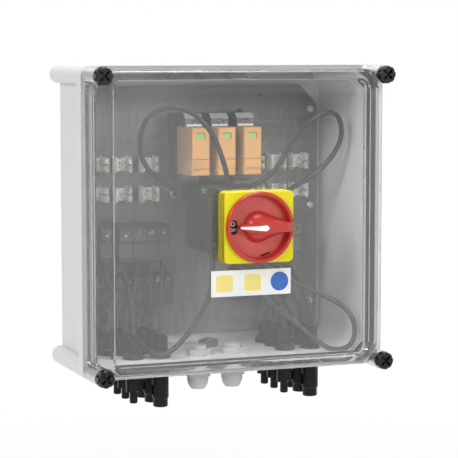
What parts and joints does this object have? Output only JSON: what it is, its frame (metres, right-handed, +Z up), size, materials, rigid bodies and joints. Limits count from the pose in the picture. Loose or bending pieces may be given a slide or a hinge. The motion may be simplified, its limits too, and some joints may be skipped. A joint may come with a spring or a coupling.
{
  "type": "solar combiner box",
  "caption": "Square wall enclosure with a clear lift-off cover, a red rotary switch handle on a yellow plate, surge arresters inside and string connectors below.",
  "frame": {"origin": "centre of the four wall fixing holes, on the wall", "axes": "+Z up, +X to the right as seen from the front, +Y into the wall; the cover faces -Y"},
  "size_m": [0.304, 0.1718, 0.3328],
  "materials": {
    "enclosure": "fine satin moulding",
    "clear_cover": "clear and glossy",
    "gasket": "matt",
    "screw_black": "satin moulding",
    "board": "solder mask",
    "bright_metal": "nickel plated",
    "arrester_orange": "satin moulding",
    "arrester_grey": "satin moulding",
    "terminal_grey": "satin moulding",
    "switch_grey": "satin moulding",
    "handle_yellow": "satin moulding",
    "handle_red": "satin moulding",
    "pointer_white": "satin moulding",
    "connector_black": "satin moulding",
    "gland_grey": "satin moulding",
    "vent_grey": "satin moulding",
    "wire_black": "smooth sheath"
  },
  "bodies": {
    "enclosure": {"base_shell": "enclosure", "board_screws": "bright_metal", "circuit_board": "board", "clamp_screws": "bright_metal", "connector_nuts": "connector_black", "connector_seals": "gasket", "cover_gasket": "gasket", "fuse_clips_left": "bright_metal", "fuse_clips_right": "bright_metal", "gland_body_left": "gland_grey", "gland_body_right": "gland_grey", "gland_cap_left": "gland_grey", "gland_cap_right": "gland_grey", "gland_locknuts": "gland_grey", "gland_seals": "gasket", "lower_cable": "wire_black", "minus_cable": "wire_black", "string_minus_left_1": "connector_black", "string_minus_left_2": "connector_black", "string_minus_left_3": "connector_black", "string_minus_right_1": "connector_black", "string_minus_right_2": "connector_black", "string_minus_right_3": "connector_black", "string_plus_left_1": "connector_black", "string_plus_left_2": "connector_black", "string_plus_left_3": "connector_black", "string_plus_right_1": "connector_black", "string_plus_right_2": "connector_black", "string_plus_right_3": "connector_black", "string_wires_left": "wire_black", "string_wires_right": "wire_black", "surge_cable": "wire_black", "surge_socket_1": "arrester_grey", "surge_socket_2": "arrester_grey", "surge_socket_3": "arrester_grey", "switch_body": "switch_grey", "terminals_lower_left": "terminal_grey", "terminals_lower_right": "terminal_grey", "terminals_upper_left": "terminal_grey", "terminals_upper_right": "terminal_grey", "upper_cable": "wire_black", "vent_nut": "vent_grey", "vent_plug": "vent_grey", "wire_posts": "bright_metal"},
    "lid": {"cover": "clear_cover", "handle_plate": "handle_yellow", "plate_screws": "bright_metal", "switch_dial": "screw_black"},
    "screw_lower_left": {"cover_screw_lower_left": "screw_black"},
    "screw_lower_right": {"cover_screw_lower_right": "screw_black"},
    "screw_top_left": {"cover_screw_top_left": "screw_black"},
    "screw_top_right": {"cover_screw_top_right": "screw_black"},
    "rotary_handle": {"handle": "handle_red", "handle_pointer": "pointer_white", "handle_ring": "bright_metal"},
    "module_1": {"surge_module_1": "arrester_orange"},
    "module_2": {"surge_module_2": "arrester_orange"},
    "module_3": {"surge_module_3": "arrester_orange"},
    "shaft": {"switch_shaft": "bright_metal"}
  },
  "joints": [
    {"name": "cover_lift", "type": "slide", "parent": "enclosure", "child": "lid", "axis": [0, -1, 0], "range_m": [0, 0.12]},
    {"name": "handle_turn", "type": "hinge", "parent": "lid", "child": "rotary_handle", "pos_m": [0.0087, -0.15, -0.0033], "axis": [0, 1, 0], "range_deg": [0, 90]},
    {"name": "shaft_turn", "type": "hinge", "parent": "enclosure", "child": "shaft", "pos_m": [0.0087, -0.1, -0.0033], "axis": [0, 1, 0], "range_deg": [0, 90]},
    {"name": "screw_turn_top_left", "type": "hinge", "parent": "lid", "child": "screw_top_left", "pos_m": [-0.143, -0.15, 0.14], "axis": [0, 1, 0], "range_deg": [0, 90]},
    {"name": "screw_turn_top_right", "type": "hinge", "parent": "lid", "child": "screw_top_right", "pos_m": [0.143, -0.15, 0.14], "axis": [0, 1, 0], "range_deg": [0, 90]},
    {"name": "screw_turn_lower_left", "type": "hinge", "parent": "lid", "child": "screw_lower_left", "pos_m": [-0.143, -0.15, -0.14], "axis": [0, 1, 0], "range_deg": [0, 90]},
    {"name": "screw_turn_lower_right", "type": "hinge", "parent": "lid", "child": "screw_lower_right", "pos_m": [0.143, -0.15, -0.14], "axis": [0, 1, 0], "range_deg": [0, 90]},
    {"name": "module_slide_1", "type": "slide", "parent": "enclosure", "child": "module_1", "axis": [0, -1, 0], "range_m": [0, 0.02]},
    {"name": "module_slide_2", "type": "slide", "parent": "enclosure", "child": "module_2", "axis": [0, -1, 0], "range_m": [0, 0.02]},
    {"name": "module_slide_3", "type": "slide", "parent": "enclosure", "child": "module_3", "axis": [0, -1, 0], "range_m": [0, 0.02]}
  ],
  "couplings": [
    {"joint": "shaft_turn", "follows": "handle_turn", "ratio": 1}
  ]
}
